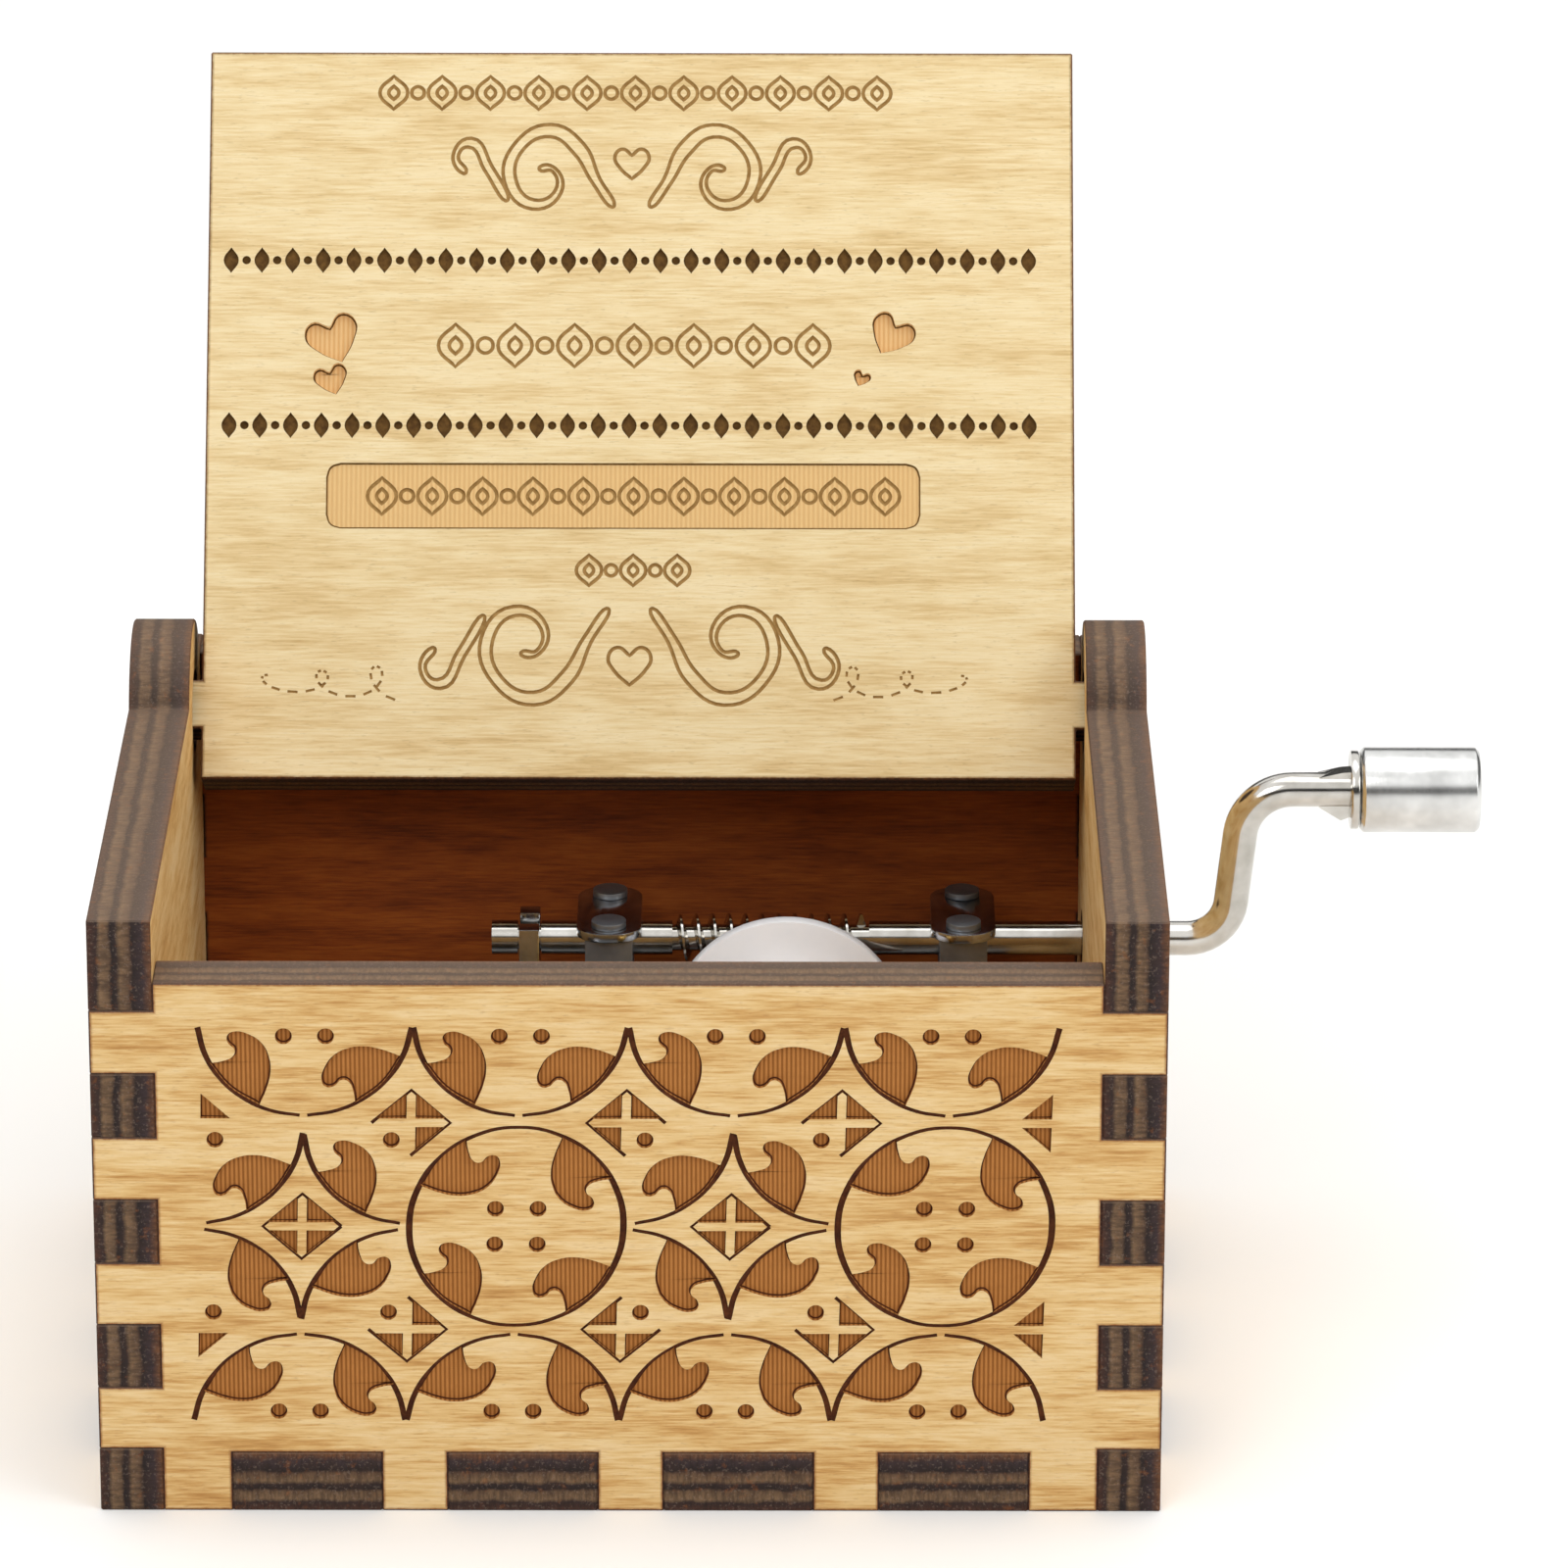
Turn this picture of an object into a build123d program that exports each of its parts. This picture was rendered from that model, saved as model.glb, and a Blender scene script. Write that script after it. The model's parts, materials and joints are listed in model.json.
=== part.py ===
"""Hand-crank music box: a finger-jointed plywood case, a hinged lid and an 18-note comb movement.

Units are millimetres. The origin is the centre of the underside, +Z is up, the front panel faces -Y
and the crank comes out of the +X side. The lid is modelled open, leaning back, with the crank up.
"""
from build123d import *
from math import atan2, degrees, pi, sin
import os

os.makedirs("parts", exist_ok=True)

# ---- Case ----
WIDTH = 64.0            # across the two side panels
DEPTH = 52.0            # front panel to back panel, outside
PLY = 3.8               # plywood thickness
FINGER = 4.05           # height of one finger in the corner joints
FINGERS = 8             # fingers stacked up each corner, the sides' and the panels' in turn
FRONT_TOP = 34.15       # the lid lies on the front panel
SIDE_TOP = 38.1         # the sides and back come up flush with the closed lid
TAB_WIDTH = 9.0         # bottom panel tabs
TAB_PITCH = 13.0
FRONT_TABS = 4
SIDE_TABS = 3
HALF_WIDTH = WIDTH / 2
HALF_DEPTH = DEPTH / 2
INNER_X = HALF_WIDTH - PLY
INNER_Y = HALF_DEPTH - PLY

# ---- Lid and its hinge ----
LID_GAP = 0.05                              # between the closed lid and the front panel
HINGE_Y = 16.85
HINGE_Z = FRONT_TOP + LID_GAP + PLY / 2
EAR_RADIUS = 5.8
LID_WIDTH = 55.3
LID_FRONT = 42.8                            # hinge axis to the lid's front edge
LID_REAR = 4.8                              # hinge axis to the rear edge, inside the back panel
LID_TAB = 3.1                               # width of the lid's square hinge tabs
LID_TAB_END = HALF_WIDTH - 0.3
HINGE_HOLE_R = 2.52                         # the square tab turns in this round hole
OPEN_ANGLE = 121.5                          # from closed to leaning back

# ---- Crank and its worm ----
SHAFT_Y = 14.5
SHAFT_Z = 21.6
ROD_R = 1.1
CRANK_HOLE_R = 1.7
SHAFT_END = -9.4
ARM_FOOT = 37.4         # where the arm leaves the shaft's line
ARM_HEAD = 38.5         # where it meets the handle's line
ARM_HEIGHT = 10.1
FOOT_BEND = 2.8
HEAD_BEND = 3.3
GROOVE_R = 0.85         # groove that the thrust fork holds
RUNNING_GAP = 0.06      # radial clearance of a shaft in its bearing
WORM_START = 2.6
WORM_TURNS = 11
WORM_PITCH = 1.05
WORM_ROOT_R = 0.85
WORM_CREST_R = 1.55
CREST_HALF = 0.07       # half the thread's thickness at its crest
FLANK_SLOPE = 0.314

# ---- Handle ----
STAKE_START = 43.1      # the rod is pinched flat beside the washer
WASHER_START = 45.1
WASHER_THICK = 0.5
WASHER_R = 2.5
KNOB_START = 45.7
KNOB_END = 53.25
KNOB_R = 2.7
KNOB_CAVITY = 49.7      # from here the knob is wide enough for the rod's head
KNOB_CAVITY_R = 1.95
KNOB_CAP = 1.0
ROD_HEAD = 0.7
ROD_HEAD_R = 1.6

# ---- Drum and worm wheel ----
DRUM_X = 9.4
WHEEL_TEETH = 24
WHEEL_PITCH_R = WHEEL_TEETH * WORM_PITCH / (2 * pi)
WORM_PITCH_R = 1.3
DRUM_Z = SHAFT_Z - WHEEL_PITCH_R - WORM_PITCH_R
TOOTH_TIP_R = SHAFT_Z - DRUM_Z - WORM_ROOT_R - 0.12
TOOTH_ROOT_R = SHAFT_Z - DRUM_Z - WORM_CREST_R - 0.14
TOOTH_TIP_HALF = 0.13
TOOTH_ROOT_HALF = 0.31
DRUM_R = 6.5
DRUM_WALL = 0.6
DRUM_START = -13.5      # far enough forward that the panel hides it from the lid side
DRUM_LENGTH = 18.0
END_CAP = 1.2
PIN_R = 0.2
PIN_TIP_R = 7.15
PIN_ROWS = 13           # angular places on the drum, one pin on every third track in each
ARBOR_R = 0.75
FIT_GAP = 0.02
FLANGE_START = 11.5
FLANGE_THICK = 1.0
FLANGE_R = 7.5
WHEEL_END = 17.0
HUB_R = 4.2             # hub between the wheel and the drum
HUB_GAP = 0.1

# ---- Comb ----
NOTES = 18
NOTE_PITCH = 0.93
NOTE_SLIT = 0.22
COMB_Y = -4.5           # middle of the notes
COMB_BACK = -20.0
COMB_TIP = DRUM_X - PIN_TIP_R - 0.15
COMB_THICK = 1.0
COMB_Z = DRUM_Z - 0.3   # underside of the comb
BASS_ROOT = -11.0       # the longest note's root, the treble end is shorter
TREBLE_ROOT = -5.5
WEIGHTED_NOTES = 6
TIP_RELIEF = 0.45       # the notes are ground thinner than the root
LEDGE_DEPTH = 7.0       # of the bed under the comb
LEDGE_WALL = 1.6

# ---- Bedplate and bearings ----
BED_THICK = 2.0
BED_X = (-21.0, 24.0)
BED_Y = (-18.5, 20.6)
BED_Z = PLY
BED_TOP = BED_Z + BED_THICK
POST_WIDTH = 3.0
POST_DEPTH = 7.6
POST_TOP = SHAFT_Z + ROD_R + 0.15
POST_X = (-1.9, 20.6)
KEEPER = (4.1, 8.8, 0.6)
PEG_R = 0.7
PEG_SPACING = 5.6
PEG_HEAD_R = 1.1
PEG_HEAD = 0.4
FORK_X = -7.0
FORK_THICK = 1.3
FORK_WIDTH = 4.4
FORK_TOP = SHAFT_Z + 1.3
UPRIGHT_WIDTH = 5.0
REAR_UPRIGHT = (18.0, 20.0)
FRONT_BRACKET = (-17.0, -15.5)
BRACKET_FOOT = 4.6
BRACKET_THICK = 1.2

# ---- Screws ----
CASE_SCREWS = [(-15.0, -8.0), (-15.0, 15.0), (20.0, 0.0)]
HOLE_PLAY = 0.1         # radial, of a plain hole round a screw
SCREW_R = 1.25
SCREW_HEAD_R = 2.4
SCREW_HEAD = 1.4
HEAD_RECESS = 1.8
SMALL_SCREW_R = 1.0
SMALL_HEAD_R = 1.9
SMALL_HEAD = 1.2
SLOT_WIDTH = 0.5
COMB_SCREW_X = -17.0
COMB_SCREW_SPACING = 7.5


def block(x, y, z):
    """A box between the pairs of limits x, y and z."""
    size = [high - low for low, high in (x, y, z)]
    middle = [(high + low) / 2 for low, high in (x, y, z)]
    return Pos(*middle) * Box(*size)


def round_x(radius, start, end, y=SHAFT_Y, z=SHAFT_Z):
    """A cylinder along X."""
    return Pos((start + end) / 2, y, z) * Rot(0, 90, 0) * Cylinder(radius, end - start)


def round_y(radius, start, end, x=DRUM_X, z=DRUM_Z):
    """A cylinder along Y."""
    return Pos(x, (start + end) / 2, z) * Rot(90, 0, 0) * Cylinder(radius, end - start)


def round_z(radius, start, end, x, y):
    """A cylinder along Z."""
    return Pos(x, y, (start + end) / 2) * Cylinder(radius, end - start)


def save(node, *pieces):
    """Writes one node, as a single solid or as a group of separate ones."""
    solids = [solid for piece in pieces for solid in piece.solids()]
    shape = solids[0] if len(solids) == 1 else Compound(children=solids)
    export_step(shape, f"parts/{node}.step")


def tab_limits(count):
    """The limits along one edge of the bottom panel's tabs."""
    middles = [(i - (count - 1) / 2) * TAB_PITCH for i in range(count)]
    return [(m - TAB_WIDTH / 2, m + TAB_WIDTH / 2) for m in middles]


def finger_limits(first):
    """Heights of every second finger, from the first one given."""
    return [(i * FINGER, (i + 1) * FINGER) for i in range(first, FINGERS, 2)]


# ---- Plywood ----
def end_panel(front, top):
    """The front or back panel: its fingers reach the corners between those of the sides."""
    y = (-HALF_DEPTH, -INNER_Y) if front else (INNER_Y, HALF_DEPTH)
    panel = block((-INNER_X, INNER_X), y, (0, top))
    for low, high in finger_limits(1):
        panel += block((-HALF_WIDTH, HALF_WIDTH), y, (low, high))
    for limits in tab_limits(FRONT_TABS):
        panel -= block(limits, y, (-1, PLY))
    return panel


def side_panel(side):
    """A side panel with its ear at the hinge. side is -1 on the left and 1 on the right."""
    x = sorted((side * INNER_X, side * HALF_WIDTH))
    panel = block(x, (-INNER_Y, INNER_Y), (0, SIDE_TOP))
    corner_heights = finger_limits(0) + [(FINGERS * FINGER, SIDE_TOP)]
    for low, high in corner_heights:
        panel += block(x, (-HALF_DEPTH, HALF_DEPTH), (low, high))
    for limits in tab_limits(SIDE_TABS):
        panel -= block(x, limits, (-1, PLY))
    panel += round_x(EAR_RADIUS, *x, y=HINGE_Y, z=HINGE_Z)
    panel -= round_x(HINGE_HOLE_R, *x, y=HINGE_Y, z=HINGE_Z)
    if side > 0:
        panel -= round_x(CRANK_HOLE_R, *x)
    return panel


def bottom_panel():
    panel = block((-INNER_X, INNER_X), (-INNER_Y, INNER_Y), (0, PLY))
    for limits in tab_limits(FRONT_TABS):
        panel += block(limits, (-HALF_DEPTH, HALF_DEPTH), (0, PLY))
    for limits in tab_limits(SIDE_TABS):
        panel += block((-HALF_WIDTH, HALF_WIDTH), limits, (0, PLY))
    for x, y in CASE_SCREWS:
        panel -= round_z(SCREW_R + HOLE_PLAY, -1, PLY + 1, x, y)
        panel -= round_z(SCREW_HEAD_R + HOLE_PLAY, -1, HEAD_RECESS, x, y)
    return panel


def lid():
    """One plywood panel with a square tab on each side, turned open about the hinge."""
    z = (HINGE_Z - PLY / 2, HINGE_Z + PLY / 2)
    half = LID_WIDTH / 2
    panel = block((-half, half), (HINGE_Y - LID_FRONT, HINGE_Y + LID_REAR), z)
    tab = (HINGE_Y - LID_TAB / 2, HINGE_Y + LID_TAB / 2)
    panel += block((-LID_TAB_END, LID_TAB_END), tab, z)
    hinge = Axis((0, HINGE_Y, HINGE_Z), (1, 0, 0))
    return panel.rotate(hinge, -OPEN_ANGLE)


# ---- Screws ----
def slotted_screw(radius, length, head_radius, head):
    """A cheese-head screw pointing down, with the underside of its head at the origin."""
    screw = Pos(0, 0, -length / 2) * Cylinder(radius, length)
    screw += Pos(0, 0, head / 2) * Cylinder(head_radius, head)
    return screw - Pos(0, 0, head) * Box(2 * head_radius, SLOT_WIDTH, head)


def case_screws():
    """Screws from under the bottom panel into the bedplate."""
    length = BED_TOP - HEAD_RECESS - 0.3
    screw = Rot(180, 0, 0) * slotted_screw(SCREW_R, length, SCREW_HEAD_R, SCREW_HEAD)
    return [Pos(x, y, HEAD_RECESS) * screw for x, y in CASE_SCREWS]


def comb_screws():
    screw = slotted_screw(SMALL_SCREW_R, 4.0, SMALL_HEAD_R, SMALL_HEAD)
    places = [COMB_Y + i * COMB_SCREW_SPACING for i in (-1, 0, 1)]
    return [Pos(COMB_SCREW_X, y, COMB_Z + COMB_THICK) * screw for y in places]


# ---- Movement frame ----
def bedplate():
    """Die-cast bed with the comb ledge, the two crank posts and the rear drum upright."""
    bed = block(BED_X, BED_Y, (BED_Z, BED_TOP))
    half_notes = NOTES * NOTE_PITCH / 2 + 1.5
    ledge_y = (COMB_Y - half_notes, COMB_Y + half_notes)
    bed += block((COMB_BACK, COMB_BACK + LEDGE_DEPTH), ledge_y, (BED_TOP, COMB_Z))
    hollow_y = (ledge_y[0] + LEDGE_WALL, ledge_y[1] - LEDGE_WALL)
    bed -= block((COMB_BACK + LEDGE_WALL, COMB_BACK + LEDGE_DEPTH), hollow_y, (BED_TOP, COMB_Z - 5))
    for x in POST_X:
        bed += crank_post(x)
    bed += drum_upright(REAR_UPRIGHT)
    for x, y in CASE_SCREWS:
        bed -= round_z(SCREW_R + FIT_GAP, BED_Z - 1, BED_TOP - 0.2, x, y)
    for i in (-1, 0, 1):
        y = COMB_Y + i * COMB_SCREW_SPACING
        bed -= round_z(SMALL_SCREW_R + FIT_GAP, COMB_Z - 4.1, COMB_Z + 1, COMB_SCREW_X, y)
    bed -= fork_tang(FIT_GAP)
    return bed - round_z(SMALL_SCREW_R + FIT_GAP, BED_Z - 1, BED_TOP + 1, DRUM_X, bracket_screw_y())


def crank_post(x):
    """A post with an open channel for the crank shaft and two pegs that the keeper is riveted to."""
    width = (x - POST_WIDTH / 2, x + POST_WIDTH / 2)
    depth = (SHAFT_Y - POST_DEPTH / 2, SHAFT_Y + POST_DEPTH / 2)
    bore = ROD_R + RUNNING_GAP
    post = block(width, depth, (BED_TOP, POST_TOP))
    post -= round_x(bore, *width)
    post -= block(width, (SHAFT_Y - bore, SHAFT_Y + bore), (SHAFT_Z, POST_TOP + 1))
    rivet_top = POST_TOP + KEEPER[2]
    for y in (SHAFT_Y - PEG_SPACING / 2, SHAFT_Y + PEG_SPACING / 2):
        post += round_z(PEG_R, POST_TOP - 1, rivet_top, x, y)
        post += round_z(PEG_HEAD_R, rivet_top, rivet_top + PEG_HEAD, x, y)
    return post


def drum_upright(y):
    """A round-topped bearing plate for one end of the drum's arbor."""
    x = (DRUM_X - UPRIGHT_WIDTH / 2, DRUM_X + UPRIGHT_WIDTH / 2)
    upright = block(x, y, (BED_TOP, DRUM_Z)) + round_y(UPRIGHT_WIDTH / 2, *y)
    return upright - round_y(ARBOR_R + RUNNING_GAP, *y)


def shaft_keeper(x):
    """The plate that closes a crank post, with round ends and a hole for each peg."""
    length, depth, thick = KEEPER
    bottom = (POST_TOP, POST_TOP + thick)
    plate = block((x - length / 2, x + length / 2), (SHAFT_Y - depth / 2, SHAFT_Y + depth / 2), bottom)
    plate = fillet(plate.edges().filter_by(Axis.Z), length / 2 - 0.3)
    for y in (SHAFT_Y - PEG_SPACING / 2, SHAFT_Y + PEG_SPACING / 2):
        plate -= round_z(PEG_R + FIT_GAP, POST_TOP - 1, POST_TOP + thick + 1, x, y)
    return plate


def fork_tang(gap=0.0):
    """The foot of the thrust fork, pressed into a slot in the bedplate."""
    x = (FORK_X - FORK_THICK / 2 - gap, FORK_X + FORK_THICK / 2 + gap)
    y = (SHAFT_Y - FORK_WIDTH / 4 - gap, SHAFT_Y + FORK_WIDTH / 4 + gap)
    return block(x, y, (BED_Z, BED_TOP))


def thrust_fork():
    """The plate that straddles the groove in the crank shaft and stops it sliding."""
    x = (FORK_X - FORK_THICK / 2, FORK_X + FORK_THICK / 2)
    y = (SHAFT_Y - FORK_WIDTH / 2, SHAFT_Y + FORK_WIDTH / 2)
    slot = GROOVE_R + RUNNING_GAP
    fork = block(x, y, (BED_TOP, FORK_TOP)) + fork_tang()
    fork -= round_x(slot, *x)
    return fork - block(x, (SHAFT_Y - slot, SHAFT_Y + slot), (SHAFT_Z, SHAFT_Z + 3))


def bracket_screw_y():
    return FRONT_BRACKET[1] + BRACKET_FOOT / 2


def front_bracket():
    """The pressed bracket that carries the front end of the drum's arbor."""
    foot_x = (DRUM_X - UPRIGHT_WIDTH / 2, DRUM_X + UPRIGHT_WIDTH / 2)
    foot = block(foot_x, (FRONT_BRACKET[0], FRONT_BRACKET[1] + BRACKET_FOOT), (BED_TOP, BED_TOP + BRACKET_THICK))
    bracket = drum_upright(FRONT_BRACKET) + foot
    return bracket - round_z(SMALL_SCREW_R + HOLE_PLAY, BED_TOP - 1, BED_TOP + 2, DRUM_X, bracket_screw_y())


def bracket_screw():
    screw = slotted_screw(SMALL_SCREW_R, BED_THICK + 1.0, SMALL_HEAD_R, 0.9)
    return Pos(DRUM_X, bracket_screw_y(), BED_TOP + BRACKET_THICK) * screw


# ---- Comb ----
def note_y(note):
    return COMB_Y + (note - (NOTES - 1) / 2) * NOTE_PITCH


def note_root(note):
    return BASS_ROOT + (TREBLE_ROOT - BASS_ROOT) * note / (NOTES - 1)


def comb():
    """The steel comb: a slit on each side of every note, the long bass notes at the front."""
    z = (COMB_Z, COMB_Z + COMB_THICK)
    half = NOTES * NOTE_PITCH / 2
    plate = block((COMB_BACK, COMB_TIP), (COMB_Y - half, COMB_Y + half), z)
    thinned = COMB_THICK - TIP_RELIEF
    plate -= block((TREBLE_ROOT + 1, COMB_TIP + 1), (COMB_Y - half, COMB_Y + half), (COMB_Z + thinned, z[1] + 1))
    for note in range(NOTES - 1):
        middle = note_y(note) + NOTE_PITCH / 2
        slit = (middle - NOTE_SLIT / 2, middle + NOTE_SLIT / 2)
        plate -= block((note_root(note), COMB_TIP + 1), slit, (COMB_Z - 1, z[1] + 1))
    for i in (-1, 0, 1):
        y = COMB_Y + i * COMB_SCREW_SPACING
        plate -= round_z(SMALL_SCREW_R + HOLE_PLAY, COMB_Z - 1, z[1] + 1, COMB_SCREW_X, y)
    return plate


def comb_weights():
    """Lead weights under the tips of the lowest notes."""
    half = (NOTE_PITCH - NOTE_SLIT) / 2
    weights = []
    for note in range(WEIGHTED_NOTES):
        drop = 2.2 - 0.2 * note
        y = (note_y(note) - half, note_y(note) + half)
        weights.append(block((COMB_TIP - 3.4, COMB_TIP - 1.0), y, (COMB_Z - drop, COMB_Z)))
    return weights


# ---- Drum ----
def drum():
    """The pinned drum is a thin brass tube."""
    tube = round_y(DRUM_R, DRUM_START, DRUM_START + DRUM_LENGTH)
    return tube - round_y(DRUM_R - DRUM_WALL, DRUM_START, DRUM_START + DRUM_LENGTH)


def drum_pins():
    """Tune pins, spread over the 18 tracks so that no two in a track come close together."""
    pins = []
    for row in range(PIN_ROWS):
        for note in range(row % 3, NOTES, 3):
            angle = 360 * (row + 0.5 + 0.3 * sin(2.4 * note)) / PIN_ROWS
            pin = Pos(0, 0, (PIN_TIP_R + DRUM_R - 0.3) / 2) * Cylinder(PIN_R, PIN_TIP_R - DRUM_R + 0.3)
            pins.append(Pos(DRUM_X, note_y(note), DRUM_Z) * Rot(0, angle, 0) * pin)
    return pins


def end_caps():
    """The two discs that centre the drum on its arbor."""
    caps = []
    for start in (DRUM_START, DRUM_START + DRUM_LENGTH - END_CAP):
        disc = round_y(DRUM_R - DRUM_WALL - FIT_GAP, start, start + END_CAP)
        caps.append(disc - round_y(ARBOR_R + FIT_GAP, start, start + END_CAP))
    return caps


def drum_arbor():
    return round_y(ARBOR_R, FRONT_BRACKET[0] - 0.6, REAR_UPRIGHT[1] + 0.4)


def wheel_tooth(number):
    """One tooth, a straight wedge leaning by the worm's lead angle."""
    lean = degrees(atan2(WORM_PITCH, 2 * pi * WORM_PITCH_R))
    middle = (FLANGE_START + FLANGE_THICK + WHEEL_END) / 2
    width = WHEEL_END - FLANGE_START - FLANGE_THICK
    outline = Polyline(
        (-TOOTH_ROOT_HALF, TOOTH_ROOT_R - 0.3),
        (-TOOTH_TIP_HALF, TOOTH_TIP_R),
        (TOOTH_TIP_HALF, TOOTH_TIP_R),
        (TOOTH_ROOT_HALF, TOOTH_ROOT_R - 0.3),
        close=True,
    )
    wedge = extrude(Plane.XZ * make_face(outline), width / 2, both=True)
    turn = 360 * (number + worm_phase()) / WHEEL_TEETH
    return Pos(DRUM_X, middle, DRUM_Z) * Rot(0, turn, 0) * Rot(0, 0, -lean) * wedge


def worm_phase():
    """Part of a tooth pitch from the drum's centre line to the middle of a gap in the worm, under the shaft."""
    start = helix_line() @ 0
    start_angle = atan2(start.Z - SHAFT_Z, start.Y - SHAFT_Y)
    crest = WORM_START + WORM_PITCH * (-pi / 2 - start_angle) / (2 * pi)
    middle = (FLANGE_START + FLANGE_THICK + WHEEL_END) / 2
    lean_shift = (SHAFT_Y - middle) * WORM_PITCH / (2 * pi * WORM_PITCH_R)
    return (crest - lean_shift - DRUM_X) / WORM_PITCH + 0.5


def worm_wheel():
    """White moulded wheel: a hub behind the drum, a plain flange, and the teeth under the worm."""
    tooth_start = FLANGE_START + FLANGE_THICK
    hub_start = DRUM_START + DRUM_LENGTH + HUB_GAP
    wheel = round_y(FLANGE_R, FLANGE_START, tooth_start) + round_y(TOOTH_ROOT_R, tooth_start, WHEEL_END)
    for number in range(WHEEL_TEETH):
        wheel += wheel_tooth(number)
    wheel += round_y(HUB_R, hub_start, FLANGE_START)
    wheel += round_y(ARBOR_R + 1.2, WHEEL_END, WHEEL_END + 0.6)
    return wheel - round_y(ARBOR_R + FIT_GAP, hub_start, WHEEL_END + 0.6)


# ---- Crank ----
def helix_line():
    return Helix(
        pitch=WORM_PITCH,
        height=WORM_PITCH * WORM_TURNS,
        radius=WORM_ROOT_R,
        center=(WORM_START, SHAFT_Y, SHAFT_Z),
        direction=(1, 0, 0),
    )


def worm_thread():
    """The rolled thread: a thin trapezoid swept along a helix, sunk a little into the shaft."""
    line = helix_line()
    start = line @ 0
    outward = Vector(0, start.Y - SHAFT_Y, start.Z - SHAFT_Z).normalized()
    section = Plane(origin=start, x_dir=outward, z_dir=line % 0)
    depth = WORM_CREST_R - WORM_ROOT_R
    sunk = 0.1
    foot_half = CREST_HALF + FLANK_SLOPE * (depth + sunk)
    outline = Polyline((-sunk, -foot_half), (depth, -CREST_HALF), (depth, CREST_HALF), (-sunk, foot_half), close=True)
    return sweep(section * make_face(outline), path=line, is_frenet=True)


def crank_shaft():
    """Bent rod with a groove for the fork, the worm, and a pinched stop and a head for the handle."""
    handle_z = SHAFT_Z + ARM_HEIGHT
    rod_end = KNOB_CAVITY + 0.5
    corners = [
        (SHAFT_END, SHAFT_Y, SHAFT_Z),
        (ARM_FOOT, SHAFT_Y, SHAFT_Z),
        (ARM_HEAD, SHAFT_Y, handle_z),
        (rod_end, SHAFT_Y, handle_z),
    ]
    path = FilletPolyline(*corners, radius=[FOOT_BEND, HEAD_BEND])
    profile = Plane(origin=corners[0], z_dir=(1, 0, 0)) * Circle(ROD_R)
    rod = sweep(profile, path=path)
    worm_end = WORM_START + WORM_PITCH * WORM_TURNS
    for groove, start, end in (
        (GROOVE_R, FORK_X - FORK_THICK / 2 - 0.1, FORK_X + FORK_THICK / 2 + 0.1),
        (WORM_ROOT_R, WORM_START - 0.5, worm_end + 0.5),
    ):
        rod -= round_x(ROD_R + 1, start, end) - round_x(groove, start, end)
    rod += worm_thread()
    rod += round_x(ROD_HEAD_R, rod_end, rod_end + ROD_HEAD, z=handle_z)
    return rod + pinched_stop(handle_z)


def pinched_stop(handle_z):
    """The flattened swelling of the rod that the washer bears on."""
    outline = Polyline(
        (STAKE_START, handle_z - ROD_R * 0.9),
        (WASHER_START - 0.6, handle_z - ROD_R * 1.7),
        (WASHER_START, handle_z - ROD_R * 1.5),
        (WASHER_START, handle_z + ROD_R * 1.25),
        (WASHER_START - 0.6, handle_z + ROD_R * 1.2),
        (STAKE_START, handle_z + ROD_R * 0.9),
        close=True,
    )
    flat = extrude(Plane.XZ * make_face(outline), 0.6, both=True)
    return Pos(0, SHAFT_Y, 0) * flat


def knob_washer():
    handle_z = SHAFT_Z + ARM_HEIGHT
    limits = (WASHER_START, WASHER_START + WASHER_THICK)
    return round_x(WASHER_R, *limits, z=handle_z) - round_x(ROD_R + FIT_GAP, *limits, z=handle_z)


def crank_knob():
    """Hollow aluminium handle that turns on the rod."""
    handle_z = SHAFT_Z + ARM_HEIGHT
    body = round_x(KNOB_R, KNOB_START, KNOB_END, z=handle_z)
    body = chamfer(body.edges().filter_by(GeomType.CIRCLE), 0.25)
    body -= round_x(ROD_R + RUNNING_GAP, KNOB_START, KNOB_END, z=handle_z)
    return body - round_x(KNOB_CAVITY_R, KNOB_CAVITY, KNOB_END, z=handle_z)


def knob_cap():
    """The disc pressed into the end of the handle."""
    handle_z = SHAFT_Z + ARM_HEIGHT
    return round_x(KNOB_CAVITY_R - FIT_GAP, KNOB_END - KNOB_CAP, KNOB_END - 0.15, z=handle_z)


save("front_panel", end_panel(True, FRONT_TOP))
save("back_panel", end_panel(False, SIDE_TOP))
save("left_side_panel", side_panel(-1))
save("right_side_panel", side_panel(1))
save("bottom_panel", bottom_panel())
save("lid", lid())
save("case_screws", *case_screws())
save("bedplate", bedplate())
save("left_shaft_keeper", shaft_keeper(POST_X[0]))
save("right_shaft_keeper", shaft_keeper(POST_X[1]))
save("thrust_fork", thrust_fork())
save("front_bracket", front_bracket())
save("bracket_screw", bracket_screw())
save("comb", comb())
save("comb_weights", *comb_weights())
save("comb_screws", *comb_screws())
save("drum", drum())
save("drum_pins", *drum_pins())
save("drum_end_caps", *end_caps())
save("drum_arbor", drum_arbor())
save("worm_wheel", worm_wheel())
save("crank_shaft", crank_shaft())
save("knob_washer", knob_washer())
save("crank_knob", crank_knob())
save("knob_cap", knob_cap())
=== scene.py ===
"""Looks of a hand-crank music box: laser-cut birch plywood case and lid, and a comb movement inside."""
import json
from math import cos, pi, radians, sin

import bpy
from mathutils import Matrix, Vector


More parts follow.
